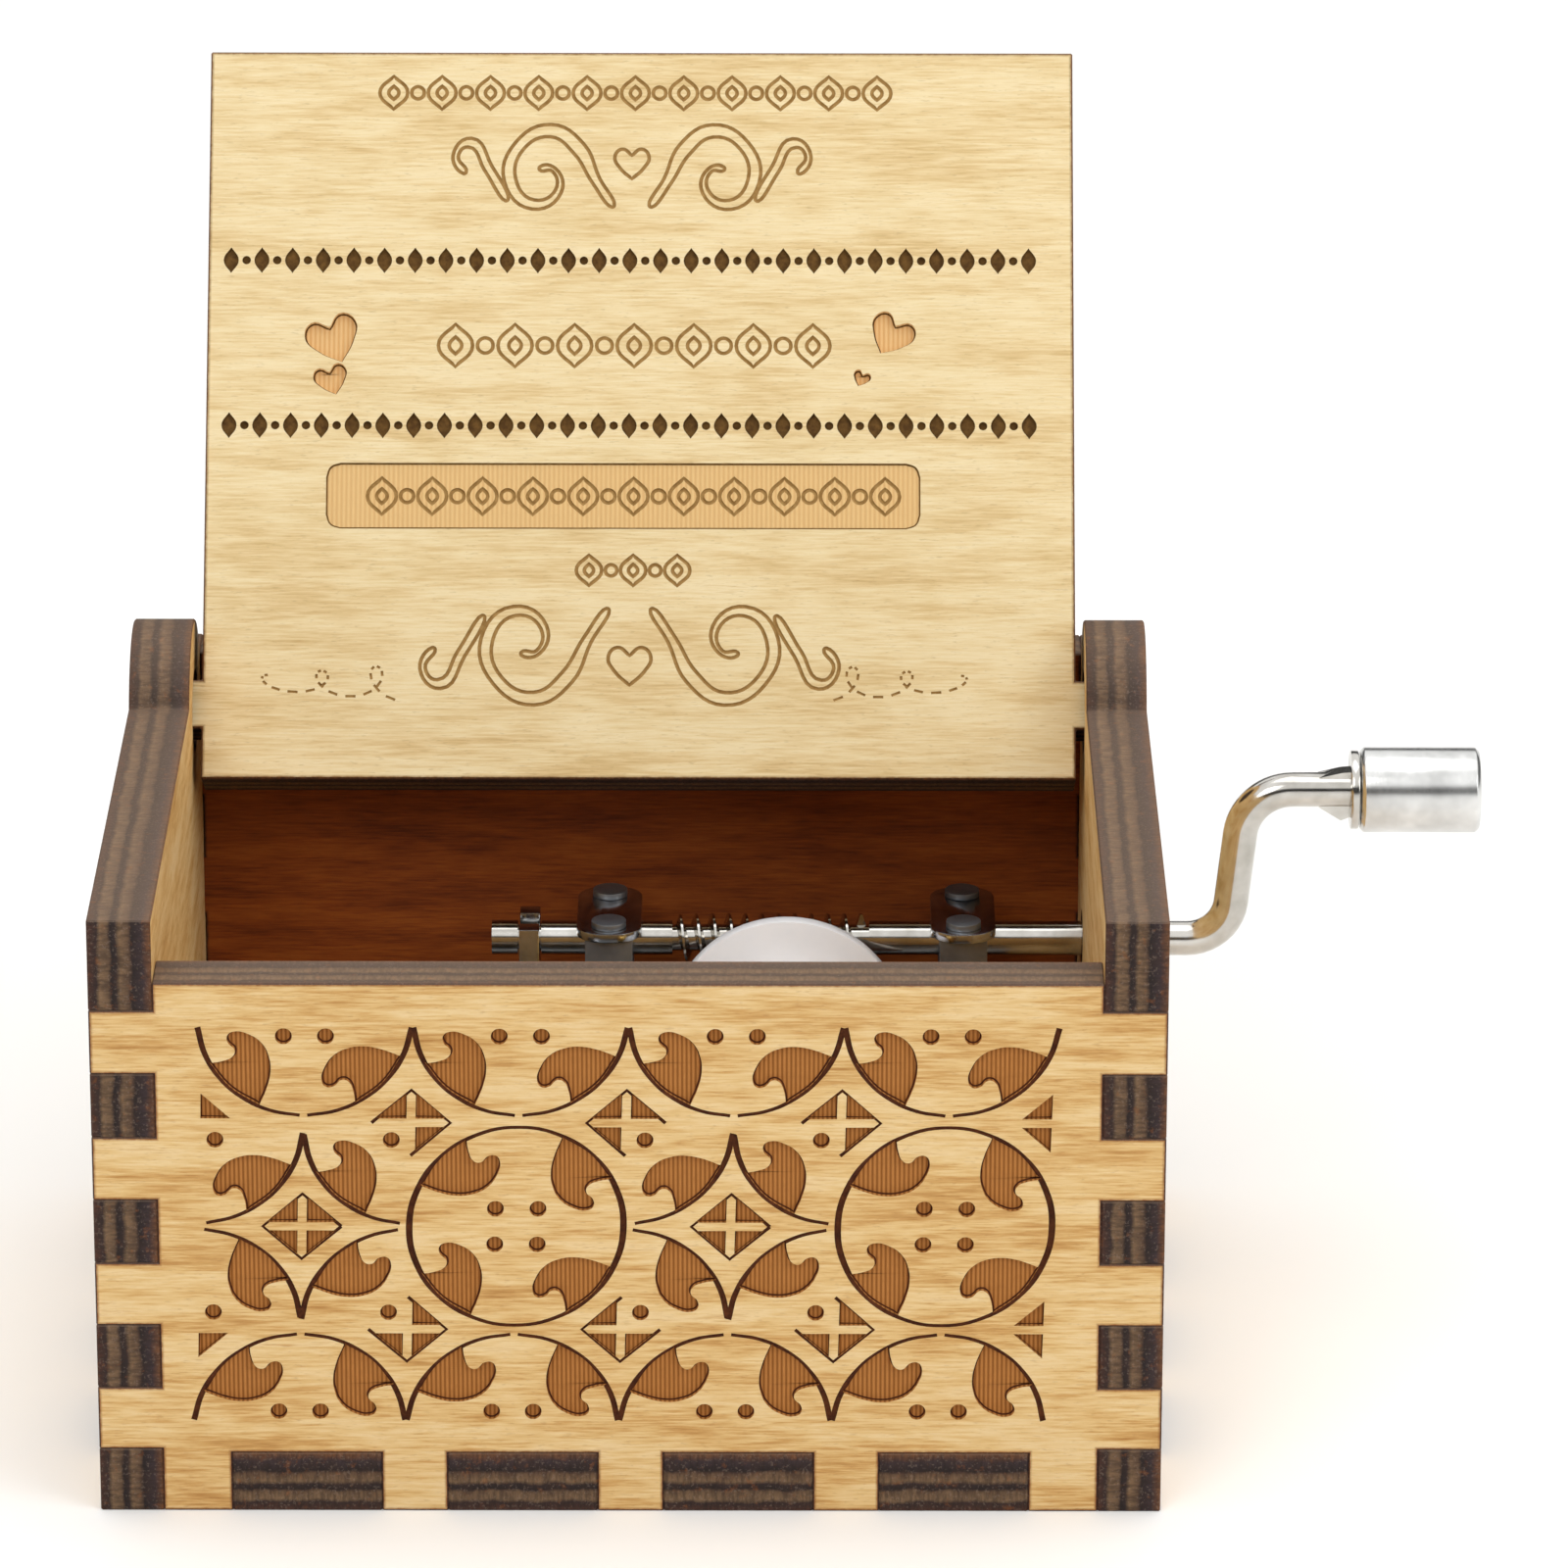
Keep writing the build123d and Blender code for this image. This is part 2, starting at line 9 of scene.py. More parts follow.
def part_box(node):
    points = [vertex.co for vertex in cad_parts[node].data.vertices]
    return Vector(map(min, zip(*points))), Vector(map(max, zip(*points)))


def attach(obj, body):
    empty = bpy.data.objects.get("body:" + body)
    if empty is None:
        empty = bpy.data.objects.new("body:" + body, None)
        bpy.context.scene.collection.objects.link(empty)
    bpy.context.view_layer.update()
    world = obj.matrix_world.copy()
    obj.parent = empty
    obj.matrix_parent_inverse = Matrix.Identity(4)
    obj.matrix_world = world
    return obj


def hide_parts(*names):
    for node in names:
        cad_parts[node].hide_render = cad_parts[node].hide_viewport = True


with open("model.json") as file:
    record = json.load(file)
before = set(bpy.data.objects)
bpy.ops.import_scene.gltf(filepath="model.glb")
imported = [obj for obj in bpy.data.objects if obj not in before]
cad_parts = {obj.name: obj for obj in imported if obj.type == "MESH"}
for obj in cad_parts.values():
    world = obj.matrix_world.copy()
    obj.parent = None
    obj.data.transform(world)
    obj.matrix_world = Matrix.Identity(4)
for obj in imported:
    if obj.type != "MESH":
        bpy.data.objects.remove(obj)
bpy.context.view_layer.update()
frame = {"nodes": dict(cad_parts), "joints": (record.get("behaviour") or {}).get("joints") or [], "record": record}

MM = 0.001
PLY = 3.8 * MM
LID_LEAN = radians(31.5)        # from upright, with the lid open
LID_REAR = 4.8 * MM             # from the hinge axis to the lid's lower edge
SCORCH_WIDTH = 0.16 * MM        # browned margin along every laser cut
EDGE_WEAR = 0.09 * MM           # the cut edges are rubbed a little round
FLAT_DEPTH = 0.30 * MM          # rastered areas of the front panel
HEART_DEPTH = 0.40 * MM
BEAD_DEPTH = 0.22 * MM
CARTOUCHE_DEPTH = 0.12 * MM
OUTLINE_WIDTH = 0.11 * MM       # darker line around a rastered area
SHARP_ANGLE = radians(40)       # edges of the plywood sharper than this are rubbed round
FLAT_ANGLE = radians(0.5)       # CAD triangles that meet flatter than this are one face
SAME_POINT = 0.001 * MM         # points of a CAD mesh closer than this are one
CUTTER_WELD = 0.002 * MM        # and the points of a cutting solid
GRID_SHIFT = 0.013 * MM         # keeps the split lines off the ornaments' own points
X_AXIS, Y_AXIS, Z_AXIS = Vector((1, 0, 0)), Vector((0, 1, 0)), Vector((0, 0, 1))

hinge = next(joint for joint in frame["joints"] if joint["name"] == "lid_hinge")
HINGE = Vector(hinge["pos_m"])


# ---- Working on one object ----
def only(piece):
    """Selects one object and nothing else."""
    bpy.ops.object.select_all(action="DESELECT")
    piece.select_set(True)
    bpy.context.view_layer.objects.active = piece


def apply_modifier(piece, kind, **settings):
    """Adds one modifier with its settings and applies it."""
    modifier = piece.modifiers.new(kind.lower(), kind)
    for name, value in settings.items():
        setattr(modifier, name, value)
    only(piece)
    bpy.ops.object.modifier_apply(modifier=modifier.name)


def copy_of(node, name):
    """A CAD node's mesh as a new object, with its triangles joined and its flat faces made whole."""
    piece = bpy.data.objects.new(name, frame["nodes"][node].data.copy())
    bpy.context.scene.collection.objects.link(piece)
    piece.data.materials.clear()
    only(piece)
    bpy.ops.mesh.customdata_custom_splitnormals_clear()
    bpy.ops.object.mode_set(mode="EDIT")
    bpy.ops.mesh.select_all(action="SELECT")
    bpy.ops.mesh.remove_doubles(threshold=SAME_POINT)
    bpy.ops.mesh.dissolve_limited(angle_limit=FLAT_ANGLE)
    bpy.ops.object.mode_set(mode="OBJECT")
    return piece


def body_of_node(node):
    """The name of the moving body that a CAD node belongs to."""
    bodies = frame["record"]["behaviour"]["bodies"]
    return next(body for body, nodes in bodies.items() if node in nodes)


def stand_for(piece, node):
    """Puts a finished piece on the body of the CAD node that it takes the place of."""
    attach(piece, body_of_node(node))
    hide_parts(node)


# ---- Materials ----
# A Mix node has one set of sockets for each kind of value. These are the colour ones.
AMOUNT, UNDER, OVER, RESULT = 0, 6, 7, 2


def colour(code):
    """A linear colour from an sRGB hex value."""
    parts = [int(code[i:i + 2], 16) / 255 for i in (0, 2, 4)]
    return [c / 12.92 if c <= 0.04045 else ((c + 0.055) / 1.055) ** 2.4 for c in parts] + [1.0]


def add(tree, kind, inputs=None, stops=(), **settings):
    """Adds a node. An input is a value, a hex colour or another node's output, and stops are a ramp's."""
    node = tree.nodes.new(kind)
    for name, value in settings.items():
        setattr(node, name, value)
    for name, value in (inputs or {}).items():
        if isinstance(value, bpy.types.NodeSocket):
            tree.links.new(value, node.inputs[name])
        else:
            node.inputs[name].default_value = colour(value) if isinstance(value, str) else value
    for position, _ in stops[1:-1]:
        node.color_ramp.elements.new(position)
    if stops:
        for element, (position, code) in zip(node.color_ramp.elements, stops):
            element.position = position
            element.color = colour(code)
    return node


def start_material(name, **values):
    """A new material with one shader, returned with its tree and shader."""
    material = bpy.data.materials.new(name)
    material.use_nodes = True
    shader = material.node_tree.nodes["Principled BSDF"]
    for socket, value in values.items():
        shader.inputs[socket.replace("_", " ")].default_value = value
    return material, material.node_tree, shader


def unevenness(tree, size, seed, detail=3.0):
    """Uneven marks that stay with the piece, size = (x, y, z) millimetres apart."""
    place = add(tree, "ShaderNodeTexCoord").outputs["Object"]
    scale = [1 / (s * MM) for s in size]
    mapped = add(tree, "ShaderNodeMapping", {"Vector": place, "Scale": scale, "Location": (seed, seed, seed)})
    marks = {"Vector": mapped.outputs["Vector"], "Scale": 1.0, "Detail": detail, "Roughness": 0.6}
    return add(tree, "ShaderNodeTexNoise", marks).outputs["Fac"]


def stains_and_painted_light(tree, base, stains):
    """base with each layer laid over it in turn, (amount, stops, hex colour): real stains, and in the charred edge
    a painted top light; a layer's amount is read through any stops.
    """
    for amount, stops, code in stains:
        if stops:
            amount = add(tree, "ShaderNodeValToRGB", {"Fac": amount}, stops).outputs["Color"]
        sockets = {AMOUNT: amount, UNDER: base, OVER: code}
        base = add(tree, "ShaderNodeMix", sockets, data_type="RGBA", blend_type="MIX").outputs[RESULT]
    return base


def surface(tree, shader, base, relief, strength, height):
    """Gives the shader its colour and a relief up to height millimetres deep."""
    tree.links.new(base, shader.inputs["Base Color"])
    bump = add(tree, "ShaderNodeBump", {"Height": relief, "Strength": strength, "Distance": height * MM})
    tree.links.new(bump.outputs["Normal"], shader.inputs["Normal"])


def grain_sizes(along, across, length):
    """Feature size on each axis for wood grain that runs along the axis numbered along."""
    sizes = [across, across, across]
    sizes[along] = length
    return sizes


def birch_veneer(name, along, tones, scorch="8A5526", blotch="C79A5E", seed=0.0):
    """Rotary-cut birch, sanded and unvarnished: fine fibres, soft bands, browned beside the laser cuts."""
    material, tree, shader = start_material(name, Roughness=0.62, Specular_IOR_Level=0.35)
    fibres = unevenness(tree, grain_sizes(along, 0.15, 2.4), seed, 6.0)
    bands = unevenness(tree, grain_sizes(along, 1.5, 10.0), seed + 3, 3.0)
    pores = unevenness(tree, grain_sizes(along, 0.12, 0.7), seed + 7, 2.0)
    cloud = unevenness(tree, (4.5, 4.5, 3.0), seed + 11, 4.0)
    figure = add(tree, "ShaderNodeMath", {0: fibres, 1: bands}, operation="ADD").outputs[0]
    half = add(tree, "ShaderNodeMath", {0: figure, 1: 0.5}, operation="MULTIPLY").outputs[0]
    base = add(tree, "ShaderNodeValToRGB", {"Fac": half}, tones).outputs["Color"]
    burn = add(tree, "ShaderNodeAttribute", attribute_name="burn").outputs["Fac"]
    wander = unevenness(tree, (0.5, 0.5, 0.5), seed + 5)
    edge = add(tree, "ShaderNodeMath", {0: burn, 1: wander}, operation="MULTIPLY").outputs[0]
    browned = add(tree, "ShaderNodeMath", {0: edge, 1: 1.9}, operation="MULTIPLY", use_clamp=True).outputs[0]
    base = stains_and_painted_light(tree, base, (
        (cloud, [(0.48, "000000"), (0.75, "5A5A5A")], blotch),
        (pores, [(0.60, "000000"), (0.74, "8C8C8C")], scorch),
        (browned, None, scorch),
    ))
    surface(tree, shader, base, fibres, 0.25, 0.05)
    return material


def charred_edge(name, thickness_axis):
    """Laser-cut plywood edge: plies and glue lines burnt nearly black, with ash specks and rusty flecks."""
    material, tree, shader = start_material(name, Roughness=0.75, Specular_IOR_Level=0.3)
    depth = add(tree, "ShaderNodeAttribute", attribute_name="ply").outputs["Fac"]
    wobble = unevenness(tree, (1.6, 1.6, 1.6), 4.0, 5.0)
    shift = add(tree, "ShaderNodeMath", {0: wobble, 1: 0.16, 2: -0.08}, operation="MULTIPLY_ADD").outputs[0]
    place = add(tree, "ShaderNodeMath", {0: depth, 1: shift}, operation="ADD").outputs[0]
    plies = add(tree, "ShaderNodeValToRGB", {"Fac": place}, [
        (0.00, "4A2A1C"), (0.14, "2E201D"), (0.20, "765C42"), (0.33, "664E38"), (0.38, "1D1312"),
        (0.45, "2A1E1C"), (0.52, "745A40"), (0.64, "604834"), (0.70, "1F1514"), (0.86, "35282A"),
        (1.00, "6E4526"),
    ]).outputs["Color"]
    sizes = [0.22, 0.22, 0.22]
    sizes[thickness_axis] = 0.9
    marks = unevenness(tree, sizes, 9.0, 6.0)
    soot = unevenness(tree, (1.3, 1.3, 1.3), 2.0, 5.0)
    ash = unevenness(tree, (0.16, 0.16, 0.16), 6.0, 2.0)
    rust = unevenness(tree, (0.55, 0.55, 0.55), 14.0, 3.0)
    # Painted highlight: char that faces upwards is lightened towards a grey tan, for the light that falls on it
    # from above.
    up = add(tree, "ShaderNodeSeparateXYZ", {"Vector": add(tree, "ShaderNodeTexCoord").outputs["Normal"]})
    painted_top_light = add(tree, "ShaderNodeMath", {0: up.outputs["Z"], 1: 0.22}, operation="MULTIPLY", use_clamp=True)
    base = stains_and_painted_light(tree, plies, (
        (marks, [(0.40, "C0C0C0"), (0.60, "000000")], "1E120C"),
        (soot, [(0.44, "000000"), (0.66, "9A9A9A")], "3C2820"),
        (ash, [(0.56, "000000"), (0.70, "8A8A8A")], "8E7A6C"),
        (rust, [(0.60, "000000"), (0.72, "8C8C8C")], "94541F"),
        (painted_top_light.outputs[0], None, "A88E78"),
    ))
    surface(tree, shader, base, marks, 0.7, 0.10)
    return material


def rastered_floor(name, light, dark, pitch):
    """Floor of an engraved area: the laser's passes leave upright lines, pitch millimetres apart."""
    material, tree, shader = start_material(name, Roughness=0.8, Specular_IOR_Level=0.2)
    place = add(tree, "ShaderNodeTexCoord").outputs["Object"]
    across = add(tree, "ShaderNodeSeparateXYZ", {"Vector": place}).outputs["X"]
    around = 2 * pi / (pitch * MM)
    turns = add(tree, "ShaderNodeMath", {0: across, 1: around}, operation="MULTIPLY").outputs[0]
    wave = add(tree, "ShaderNodeMath", {0: turns}, operation="SINE").outputs[0]
    height = add(tree, "ShaderNodeMath", {0: wave, 1: 0.5, 2: 0.5}, operation="MULTIPLY_ADD").outputs[0]
    soot = unevenness(tree, (0.6, 0.6, 0.6), 6.0, 4.0)
    lines = add(tree, "ShaderNodeValToRGB", {"Fac": height}, [(0.1, dark), (0.75, light)]).outputs["Color"]
    base = stains_and_painted_light(tree, lines, ((soot, [(0.45, "000000"), (0.75, "808080")], dark),))
    surface(tree, shader, base, height, 0.6, 0.06)
    return material


def scorched_groove(name, light, dark):
    """A single laser line: burnt darkest, uneven along its length."""
    material, tree, shader = start_material(name, Roughness=0.8, Specular_IOR_Level=0.2)
    soot = unevenness(tree, (0.45, 0.45, 0.45), 1.0, 4.0)
    base = add(tree, "ShaderNodeValToRGB", {"Fac": soot}, [(0.35, dark), (0.7, light)]).outputs["Color"]
    surface(tree, shader, base, soot, 0.4, 0.04)
    return material


def metal(name, light, dark, roughness, grain, relief=0.1, metallic=1.0):
    """A metal whose tool marks or drawing lines are grain = (x, y, z) millimetres apart."""
    material, tree, shader = start_material(name, Metallic=metallic)
    marks = unevenness(tree, grain, 2.0, 4.0)
    stains = unevenness(tree, (3.0, 3.0, 3.0), 8.0, 3.0)
    base = add(tree, "ShaderNodeValToRGB", {"Fac": stains}, [(0.35, dark), (0.65, light)]).outputs["Color"]
    limits = {"Value": marks, "To Min": roughness * 0.75, "To Max": roughness * 1.3}
    spread = add(tree, "ShaderNodeMapRange", limits).outputs["Result"]
    tree.links.new(spread, shader.inputs["Roughness"])
    surface(tree, shader, base, marks, relief, 0.02)
    return material


def moulded_acetal():
    """White acetal, injection moulded: slightly translucent, with a soft sheen."""
    material, tree, shader = start_material(
        "moulded_acetal", Roughness=0.34, IOR=1.48, Subsurface_Weight=0.15, Subsurface_Scale=1.0,
        Subsurface_Radius=(0.6 * MM, 0.6 * MM, 0.6 * MM),
    )
    haze = unevenness(tree, (1.5, 1.5, 1.5), 3.0)
    base = add(tree, "ShaderNodeValToRGB", {"Fac": haze}, [(0.3, "F6F7FA"), (0.7, "FCFCFE")]).outputs["Color"]
    surface(tree, shader, base, haze, 0.05, 0.05)
    return material


SIDE_TONES = [(0.30, "AE7838"), (0.42, "CF9F5C"), (0.51, "E2BB7C"), (0.61, "ECCC96"), (0.72, "CE9E5C")]
FRONT_TONES = [(0.30, "A47236"), (0.42, "C39758"), (0.51, "D5B277"), (0.61, "DEC290"), (0.72, "C29658")]
LID_TONES = [(0.30, "BF9F67"), (0.42, "D3B783"), (0.51, "DDC696"), (0.61, "E4D1A6"), (0.72, "CEB17D")]
BACK_PAINTED_SHADE_TONES = [(0.30, "501E04"), (0.42, "76340A"), (0.52, "8E4410"), (0.62, "A05418"), (0.72, "7A380C")]

# Honey-coloured, with the grain along the front.
veneer_x = birch_veneer("birch_veneer_grain_x", 0, FRONT_TONES)
# A little lighter, with the grain from front to back: painted light, kept brighter than the front's veneer so the
# shaded inner faces of the sides look lit.
veneer_y = birch_veneer("birch_veneer_grain_y", 1, SIDE_TONES, seed=5.0)
# Deep red-brown, with the grain still showing through: painted shade for the inside of the box, partly a darker
# veneer.
back_veneer_painted_shade = birch_veneer(
    "birch_veneer_painted_shade", 0, BACK_PAINTED_SHADE_TONES, scorch="3C1A08", blotch="7A3E16", seed=2.0,
)
# The palest sheet, nearly cream, with quiet bands.
lid_veneer = birch_veneer("birch_veneer_lid", 0, LID_TONES, scorch="8C6A3C", blotch="BFA464", seed=9.0)
# Toasted brown and finely ribbed.
floor_brown = rastered_floor("rastered_birch", "B0743A", "84501F", 0.27)
# The darkest brown, where the laser went round an outline.
line_brown = scorched_groove("scorched_outline", "5A2E12", "3C1A08")
# Dark brown, burnt deep into the pale lid.
lid_dark = scorched_groove("scorched_bead", "6E4E22", "4E3412")
# A light tan line, barely burnt.
lid_line = scorched_groove("pale_scorched_line", "A98650", "8F6C3A")
# A shade warmer than the lid, and ribbed.
lid_floor = rastered_floor("pale_rastered_birch", "DDB87E", "D2A970", 0.30)
# Much the same, a touch browner.
heart_floor = rastered_floor("heart_rastered_birch", "DDB47C", "CFA066", 0.30)
# Bright and smooth, so the rod mirrors the room in hard light and dark bars along its length.
nickel = metal("bright_nickel_plate", "CFCCC6", "AEAAA2", 0.15, (2.0, 0.12, 0.12), 0.12)
# Fine rings left by the lathe pull each reflection out into a soft silver band.
aluminium = metal("turned_aluminium", "E4E4E2", "C6C6C4", 0.24, (0.10, 2.0, 2.0), 0.25)
# Dull and pebbled all over, like the skin of a die casting.
casting = metal("as_cast_zinc", "8E9194", "7A7C80", 0.48, (0.35, 0.35, 0.35), 0.5)
# Rolled sheet: a dim sheen with long faint lines.
pressed = metal("pressed_steel", "C0C2C6", "8A8E92", 0.20, (0.2, 1.4, 0.2), 0.2)
# Ground bright, with close straight scratches along the tines.
ground_steel = metal("ground_spring_steel", "B2B5B8", "9A9DA1", 0.26, (1.6, 0.08, 0.4), 0.3)
# Thin zinc, slightly yellow, with a fine even speckle.
plated = metal("zinc_plated_steel", "B9B9B2", "A3A398", 0.32, (0.3, 0.3, 0.3), 0.2)
# Warm yellow, with turning rings round the drum.
brass = metal("turned_brass", "D2A955", "BC9140", 0.26, (1.2, 0.12, 1.2), 0.2)
# Grey, with drawing lines along the arbor.
wire = metal("drawn_steel_wire", "A4A6A8", "8C8E92", 0.28, (0.15, 1.0, 0.15), 0.1)
# Dark and nearly matt, from its skin of oxide.
lead = metal("dull_lead", "5E6064", "4A4C50", 0.6, (0.4, 0.4, 0.4), 0.4, 0.9)
acetal = moulded_acetal()
# The same char on sheets that face x, y and z.
edge_x = charred_edge("charred_ply_side", 0)
edge_y = charred_edge("charred_ply_front", 1)
edge_z = charred_edge("charred_ply_flat", 2)


# ---- Engraving ----
def bezier(curve, points, closed):
    """A spline through (x, y, corner, width) points, smooth except at the corners."""
    spline = curve.splines.new("BEZIER")
    spline.bezier_points.add(len(points) - 1)
    spline.use_cyclic_u = closed
    for knot, (x, y, corner, width) in zip(spline.bezier_points, points):
        knot.co = (x * MM, y * MM, 0)
        knot.radius = width
        kind = "VECTOR" if corner else "AUTO"
        knot.handle_left_type = knot.handle_right_type = kind


def cutter(outlines, closed, place, material, depth=None, line=None):
    """A solid for cutting: flat outlines sunk to depth, or strokes as round grooves line millimetres wide."""
    curve = bpy.data.curves.new("cutter", "CURVE")
    curve.dimensions = "3D" if line else "2D"
    curve.resolution_u = 6
    for points in outlines:
        bezier(curve, points, closed)
    if line:
        curve.bevel_depth = line / 2 * MM
        curve.bevel_resolution = 1
        curve.use_fill_caps = True
    else:
        curve.fill_mode = "BOTH"
        curve.extrude = depth
    tool = bpy.data.objects.new("cutter", curve)
    bpy.context.scene.collection.objects.link(tool)
    only(tool)
    bpy.ops.object.convert(target="MESH")
    tool = bpy.context.view_layer.objects.active
    tool.data.transform(place)
    tool.data.materials.clear()
    tool.data.materials.append(material)
    bpy.ops.object.mode_set(mode="EDIT")
    bpy.ops.mesh.select_all(action="SELECT")
    bpy.ops.mesh.remove_doubles(threshold=CUTTER_WELD)
    bpy.ops.mesh.normals_make_consistent(inside=False)
    bpy.ops.object.mode_set(mode="OBJECT")
    return tool


def circle(x, y, radius, points=8):
    """A round outline."""
    return [(x + radius * cos(2 * pi * i / points), y + radius * sin(2 * pi * i / points), False, 1.0)
            for i in range(points)]


def placed(outline, x, y, size=1.0, quarter=0):
    """An outline made size times larger, turned clockwise by quarter turns and moved to x, y."""
    c, s = cos(quarter * pi / 2), sin(quarter * pi / 2)
    return [(x + size * (px * c + py * s), y + size * (py * c - px * s), corner, width)
            for px, py, corner, width in outline]


# A curled leaf in the upper left quarter of a ring of radius 1
LEAF = [
    (-0.90, 0.41, True, 1), (-0.73, 0.68, False, 1), (-0.48, 0.88, True, 1), (-0.46, 0.76, False, 1),
    (-0.41, 0.66, False, 1), (-0.35, 0.645, False, 1), (-0.275, 0.71, False, 1), (-0.205, 0.715, False, 1),
    (-0.165, 0.655, False, 1), (-0.19, 0.52, False, 1), (-0.285, 0.39, False, 1), (-0.42, 0.325, False, 1),
    (-0.55, 0.31, False, 1), (-0.70, 0.335, False, 1),
]
UPPER_LEFT, UPPER_RIGHT, LOWER_RIGHT, LOWER_LEFT = range(4)
RING = 6.4                      # radius of the rings on the front panel, in millimetres
ROW_GAP = 0.35                  # between the rings of two rows
PATTERN_X = -0.35
PATTERN_Z = 18.6
COLUMNS = [PATTERN_X + RING * i for i in (-3, -1, 1, 3)]
ROWS = [5.20, PATTERN_Z, 32.15]  # heights of the ring centres, the outer two half out of the pattern
DIAMOND_X, DIAMOND_Z = 2.35, 2.1
CROSS_ARM = 0.27                # half the width of the plain cross in a diamond
SLANT = 0.028                   # how far the whole pattern leans
DOT = 0.5                       # radius of every dot
EDGE_DOT = (1.25, 1.35)         # from a ring's centre to the dots inside the outer rows
RING_DOT = (1.27, 1.15)         # and to the four in a whole ring
CELL_DOT = (1.15, 1.0)          # from a cell's corner to its dot


def quarter_arc(x, z, quarter, start=4, end=86):
    """One quarter of a ring as a stroke that swells towards the ring's side."""
    knots = 6
    points = []
    for i in range(knots):
        angle = radians(start + (end - start) * i / (knots - 1))
        width = 0.75 + 0.6 * cos(angle) ** 2
        swell = width if quarter % 2 == 0 else 2.1 - width
        points.append((-RING * cos(angle), RING * sin(angle), False, swell))
    return placed(points, x, z, 1.0, quarter)


def whole_ring(x, z):
    """A whole ring as one closed stroke, thickest at its sides."""
    knots = 16
    return [(x + RING * cos(2 * pi * i / knots), z + RING * sin(2 * pi * i / knots), False,
             0.75 + 0.75 * cos(2 * pi * i / knots) ** 2) for i in range(knots)]


def diamond(x, z, left_out=None):
    """The outline of a diamond, open on the side that faces left_out = (right, up)."""
    tips = [(DIAMOND_X, 0), (0, DIAMOND_Z), (-DIAMOND_X, 0), (0, -DIAMOND_Z)]
    sides = [(1, 1), (-1, 1), (-1, -1), (1, -1)]
    first = 0 if left_out is None else sides.index(left_out) + 1
    count = 5 if left_out is None else 4
    return [(x + tips[(first + i) % 4][0], z + tips[(first + i) % 4][1], True, 0.8) for i in range(count)]


def triangle(x, z, right, up):
    """One quarter of a diamond, out to its outline, beside the arms of the cross inside it."""
    corners = [(CROSS_ARM, CROSS_ARM), (DIAMOND_X * (1 - CROSS_ARM / DIAMOND_Z), CROSS_ARM),
               (CROSS_ARM, DIAMOND_Z * (1 - CROSS_ARM / DIAMOND_X))]
    return [(x + right * cx, z + up * cz, True, 1.0) for cx, cz in corners]


def front_pattern():
    """The leaf, ring, diamond and dot outlines of the front panel: flat areas, strokes and whole rings."""
    flats, strokes, rings = [], [], []
    bottom, middle, top = ROWS
    for column, x in enumerate(COLUMNS):
        for z, quarters in ((top, (LOWER_LEFT, LOWER_RIGHT)), (bottom, (UPPER_LEFT, UPPER_RIGHT))):
            for quarter in quarters:
                lean = 7
                first, last = (lean, 88) if quarter in (UPPER_LEFT, LOWER_RIGHT) else (2, 90 - lean)
                strokes.append(quarter_arc(x, z, quarter, first, last))
                flats.append(placed(LEAF, x, z, RING, quarter))
            dot_z = z - EDGE_DOT[1] if z > middle else z + EDGE_DOT[1]
            flats += [circle(x + side * EDGE_DOT[0], dot_z, DOT) for side in (-1, 1)]
        if column % 2:
            rings.append(whole_ring(x, middle))
            flats += [placed(LEAF, x, middle, RING, quarter) for quarter in range(4)]
            flats += [circle(x + i * RING_DOT[0], middle + j * RING_DOT[1], DOT)
                      for i in (-1, 1) for j in (-1, 1)]
        else:
            for right, up, quarter in ((1, 1, LOWER_LEFT), (-1, 1, LOWER_RIGHT), (1, -1, UPPER_LEFT),
                                       (-1, -1, UPPER_RIGHT)):
                corner_x, corner_z = x + right * RING, middle + up * (RING + ROW_GAP / 2)
                strokes.append(quarter_arc(corner_x, corner_z, quarter, 5, 84))
                flats.append(placed(LEAF, corner_x, corner_z, RING, quarter))
                flats.append(circle(corner_x - right * CELL_DOT[0], corner_z - up * CELL_DOT[1], DOT))
            flats += [triangle(x, middle, i, j) for i in (-1, 1) for j in (-1, 1)]
            strokes.append(diamond(x, middle))
    add_corner_diamonds(middle, flats, strokes)
    return flats, strokes, rings


def add_corner_diamonds(middle, flats, strokes):
    """The diamonds where four cells meet. The quarter in a cell with no ring gives way to that cell's dot."""
    for number in range(5):
        x = PATTERN_X + 2 * RING * (number - 2)
        star_side = 1 if number % 2 == 0 else -1
        for up in (-1, 1):
            z = middle + up * (RING + ROW_GAP / 2 + 0.1)
            inner_sides = [side for side in (-1, 1) if -2 < number - 2 + side * 0.5 < 2]
            for right in inner_sides:
                flats.append(triangle(x, z, right, up))
                if right != star_side:
                    flats.append(triangle(x, z, right, -up))
            if len(inner_sides) == 2:
                strokes.append(diamond(x, z, (star_side, -up)))


def heart(x, y, size, lean):
    """A heart size millimetres wide, leaning by an angle."""
    shape = [(0, -0.52, True), (0.36, -0.18, False), (0.52, 0.18, False), (0.30, 0.42, False),
             (0, 0.22, True), (-0.30, 0.42, False), (-0.52, 0.18, False), (-0.36, -0.18, False)]
    c, s = cos(lean), sin(lean)
    return [(x + size * (px * c - py * s), y + size * (px * s + py * c), corner, 1.0)
            for px, py, corner in shape]


def lozenge(x, y, width, height):
    """A lozenge with sharp ends and round sides."""
    right, left = x + width / 2, x - width / 2
    return [(x, y - height / 2, True, 1.0), (right, y, False, 1.0), (x, y + height / 2, True, 1.0),
            (left, y, False, 1.0)]


